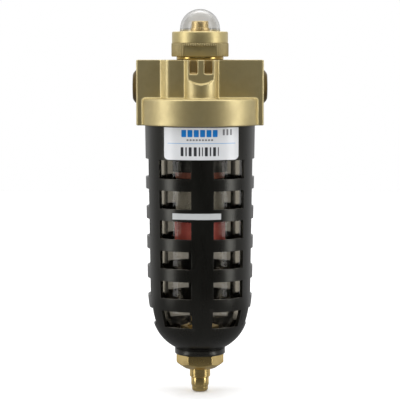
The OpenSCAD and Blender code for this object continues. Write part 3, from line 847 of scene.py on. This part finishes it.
def guard():
    low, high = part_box("bowl_guard")
    base, top = low.z / MM, high.z / MM
    rows = guard_rows(base)
    outline, last = guard_outline(base, top, rows)
    columns = guard_columns()
    points = []
    for angle, _ in columns:
        a = math.radians(angle + GUARD_TURN - 90)
        points += [(r * math.cos(a) * MM, r * math.sin(a) * MM, z * MM) for r, z in outline]
    faces = guard_faces(columns, open_bands(base, rows), len(outline), last)
    piece = make_piece("guard_moulding", points, faces, "black_moulding")
    bevel = piece.modifiers.new("edges", "BEVEL")
    bevel.width = 0.38 * MM
    bevel.segments = 3
    bevel.limit_method = "ANGLE"
    bevel.angle_limit = math.radians(42)
    stands_for(piece, "bowl_guard")
    ridge = thread_ridge("guard_thread", "black_moulding", 27.9, 28.95, base + 128.5, top - 1.6, 2.5, 144)
    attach(ridge, "guard")


# ---------------------------------------------------------------- bowl and what is inside it


def bowl():
    low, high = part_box("bowl")
    z0, z1 = low.z / MM, high.z / MM
    radius, wall, flange_r = 23.8, 3.9, high.x / MM
    centre = (4.5, 46)
    outer_arc, inner_arc = radius - centre[0], radius - centre[0] - wall
    flange_z = z1 - 3.85
    outline = [(7, z0), (10.5, z0, 0.6)] + arc(centre, outer_arc, -71, 0, 18)
    outline += [(radius, flange_z, 0.8), (flange_r, flange_z, 0.5), (flange_r, z1, 0.5),
                (radius - wall, z1, 0.8)]
    outline += arc(centre, inner_arc, 0, -62, 14)
    outline += [(11.4, 30.6), (7, 30.6)]
    stands_for(lathe("clear_bowl", outline, "clear_bowl", 160), "bowl")


def element():
    low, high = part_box("filter_element")
    z0, z1, outer, bore = low.z / MM, high.z / MM, high.x / MM, 9.0
    piece = lathe("element_tube", [(bore, z0, 0.3), (outer, z0, 0.5), (outer, z1, 0.5), (bore, z1, 0.3)],
                  "sintered_white", 160)
    stands_for(piece, "filter_element")


# ---------------------------------------------------------------- drain


def soft_min(a, b, blend):
    """The smaller of two radii, with the edge between them rounded."""
    h = max(blend - abs(a - b), 0) / blend
    return min(a, b) - h * h * blend / 4


def hexagon_radius(angle, flats):
    """Radius of a hexagon with softened corners, one flat facing the front."""
    sector = math.radians(60)
    turn = (angle + math.pi / 2) % sector
    near = flats / 2 / math.cos(min(turn, sector))
    far = flats / 2 / math.cos(sector - turn)
    return soft_min(near, far, 0.35)


def drain_hexagon():
    low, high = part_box("drain_body")
    base = low.z / MM
    hex_z, hex_top, seat = base + 4.9, base + 12.7, high.z / MM
    flats, cone_r, cone_slope = 22.7, 8.6, 1.5
    columns = 432
    heights = [hex_z + 3.4 * i / 20 for i in range(21)] + [hex_top - 0.5, hex_top - 0.2, hex_top]
    top_ease = {hex_top - 0.2: 0.06, hex_top: 0.3}
    points = []
    for c in range(columns):
        a = 2 * math.pi * c / columns
        ring = [(4.96, base), (5.45, base), (5.7, base + 0.25), (5.7, hex_z)]
        for z in heights:
            cone = cone_r + cone_slope * (z - hex_z)
            ring.append((soft_min(hexagon_radius(a, flats), cone, 0.4) - top_ease.get(z, 0), z))
        ring += [(7, hex_top), (7, seat - 0.4), (6.6, seat), (3, seat), (3, base + 10.8),
                 (4.96, base + 10.8)]
        points += [(r * math.cos(a) * MM, r * math.sin(a) * MM, z * MM) for r, z in ring]
    faces = ring_faces(columns, len(ring))
    piece = make_piece("drain_hexagon", points, faces, "polished_brass", 30)
    stands_for(piece, "drain_body")


def drain_stem():
    low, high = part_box("drain_stem")
    top = high.z / MM
    tip_r, nipple_r, tip = 4.45, 4.9, 1.5
    outline = [(1.6, 0.35), (1.9, 0.0)] + arc((tip_r - tip, tip), tip, -90, 0, 8)
    outline += [(tip_r, 3.2, 0.2), (nipple_r, 3.65, 0.25), (nipple_r, 7.8, 0.12), (4.55, 7.8), (4.55, 8.7),
                (nipple_r, 8.7, 0.12), (nipple_r, 11.4, 0.2), (2.4, 11.4), (2.4, top, 0.3), (0, top),
                (0, 14.4), (1.6, 14.4)]
    stands_for(lathe("drain_nipple_turned", outline, "polished_brass", 96), "drain_stem")


# ---------------------------------------------------------------- studio


WORLD_FRONT = 0.07
WORLD_BACK = 0.75
WORLD_BOARD = 0.35
WORLD_BELOW = 0.24


def area_light(name, place, target, size, power):
    data = bpy.data.lights.new(name, "AREA")
    data.shape = "RECTANGLE"
    data.size, data.size_y = size
    data.energy = power
    light = bpy.data.objects.new(name, data)
    bpy.context.scene.collection.objects.link(light)
    light.location = place
    light.rotation_euler = (Vector(target) - light.location).to_track_quat("-Z", "Y").to_euler()
    return light


def make_world():
    """White beyond the floor to the eye. As light: dark in front, brighter to the back, dim below,
    with a grey board standing low behind the filter."""
    world = bpy.data.worlds.new("studio")
    bpy.context.scene.world = world
    world.use_nodes = True
    tree = world.node_tree
    background = tree.nodes["Background"]
    background.inputs["Color"].default_value = colour((1.0, 1.0, 1.0))
    direction = tree.nodes.new("ShaderNodeTexCoord")
    split = tree.nodes.new("ShaderNodeSeparateXYZ")
    tree.links.new(direction.outputs["Generated"], split.inputs[0])

    def ramp(value, start, end, low, high):
        node = tree.nodes.new("ShaderNodeMapRange")
        node.interpolation_type = "SMOOTHSTEP"
        tree.links.new(value, node.inputs["Value"])
        for name, number in (("From Min", start), ("From Max", end), ("To Min", low), ("To Max", high)):
            node.inputs[name].default_value = number
        return node.outputs[0]

    def mix(factor, first, second):
        node = tree.nodes.new("ShaderNodeMix")
        node.data_type = "FLOAT"
        tree.links.new(factor, node.inputs[0])
        for socket, value in ((node.inputs[2], first), (node.inputs[3], second)):
            if hasattr(value, "is_output"):
                tree.links.new(value, socket)
            else:
                socket.default_value = value
        return node.outputs[0]

    def times(first, second):
        node = tree.nodes.new("ShaderNodeMath")
        node.operation = "MULTIPLY"
        tree.links.new(first, node.inputs[0])
        tree.links.new(second, node.inputs[1])
        return node.outputs[0]

    x, y, z = split.outputs
    room = ramp(y, -0.5, 0.9, WORLD_FRONT, WORLD_BACK)
    below = ramp(z, -0.30, -0.14, 1.0, 0.0)
    near_centre = times(ramp(x, -0.60, -0.20, 0.0, 1.0), ramp(x, 0.20, 0.60, 1.0, 0.0))
    board = times(times(near_centre, ramp(z, -0.04, 0.0, 1.0, 0.0)), ramp(y, 0.5, 0.8, 0.0, 1.0))
    light = mix(below, mix(board, room, WORLD_BOARD), WORLD_BELOW)
    paths = tree.nodes.new("ShaderNodeLightPath")
    tree.links.new(mix(paths.outputs["Is Camera Ray"], light, 1.0), background.inputs["Strength"])


def make_floor():
    """A pale matt table top under the filter. It takes a shadow but isn't mirrored in the metal."""
    half_x, front, back = 0.7, -0.14, 1.4
    points = [(-half_x, front, 0), (half_x, front, 0), (half_x, back, 0), (-half_x, back, 0)]
    surface = Surface("table_top", Roughness=0.9, Specular_IOR_Level=0.1)
    tone = surface.noise(300, 2)
    surface.wire("Base Color", surface.blend(tone, (0.96, 0.96, 0.96), (0.98, 0.98, 0.98)))
    MATERIALS["table_top"] = surface.material
    floor = make_piece("floor", points, [(0, 1, 2, 3)], "table_top")
    floor.location.z = CAD_BOX[0][2] - 0.2 * MM
    floor.visible_glossy = False
    floor.visible_transmission = False


def make_studio():
    """Two tall softboxes at the sides, a weak front light that only matt surfaces take, and a broad
    light from above."""
    make_world()
    make_floor()
    distance = 0.85
    angle = math.radians(67.6)
    for side, name in ((-1, "softbox_left"), (1, "softbox_right")):
        place = (side * distance * math.sin(angle), -distance * math.cos(angle), 0.36)
        area_light(name, place, (0, 0, 0.34), (0.25, 0.96), 3.2)
    fill = area_light("front_fill", (0, -1.2, 0.25), (0, 0, 0.13), (0.5, 0.5), 4.2)
    fill.visible_glossy = False
    fill.visible_transmission = False
    overhead = bpy.data.lights.new("overhead", "SUN")
    overhead.energy = 2.9
    overhead.angle = math.radians(100)
    lamp = bpy.data.objects.new("overhead", overhead)
    bpy.context.scene.collection.objects.link(lamp)


# ---------------------------------------------------------------- build

finish_cad_nodes()
head_pieces()
bonnet_nut()
neck_ring()
dome()
indicator_pieces()
springs()
guard()
bowl()
element()
drain_hexagon()
drain_stem()
make_studio()
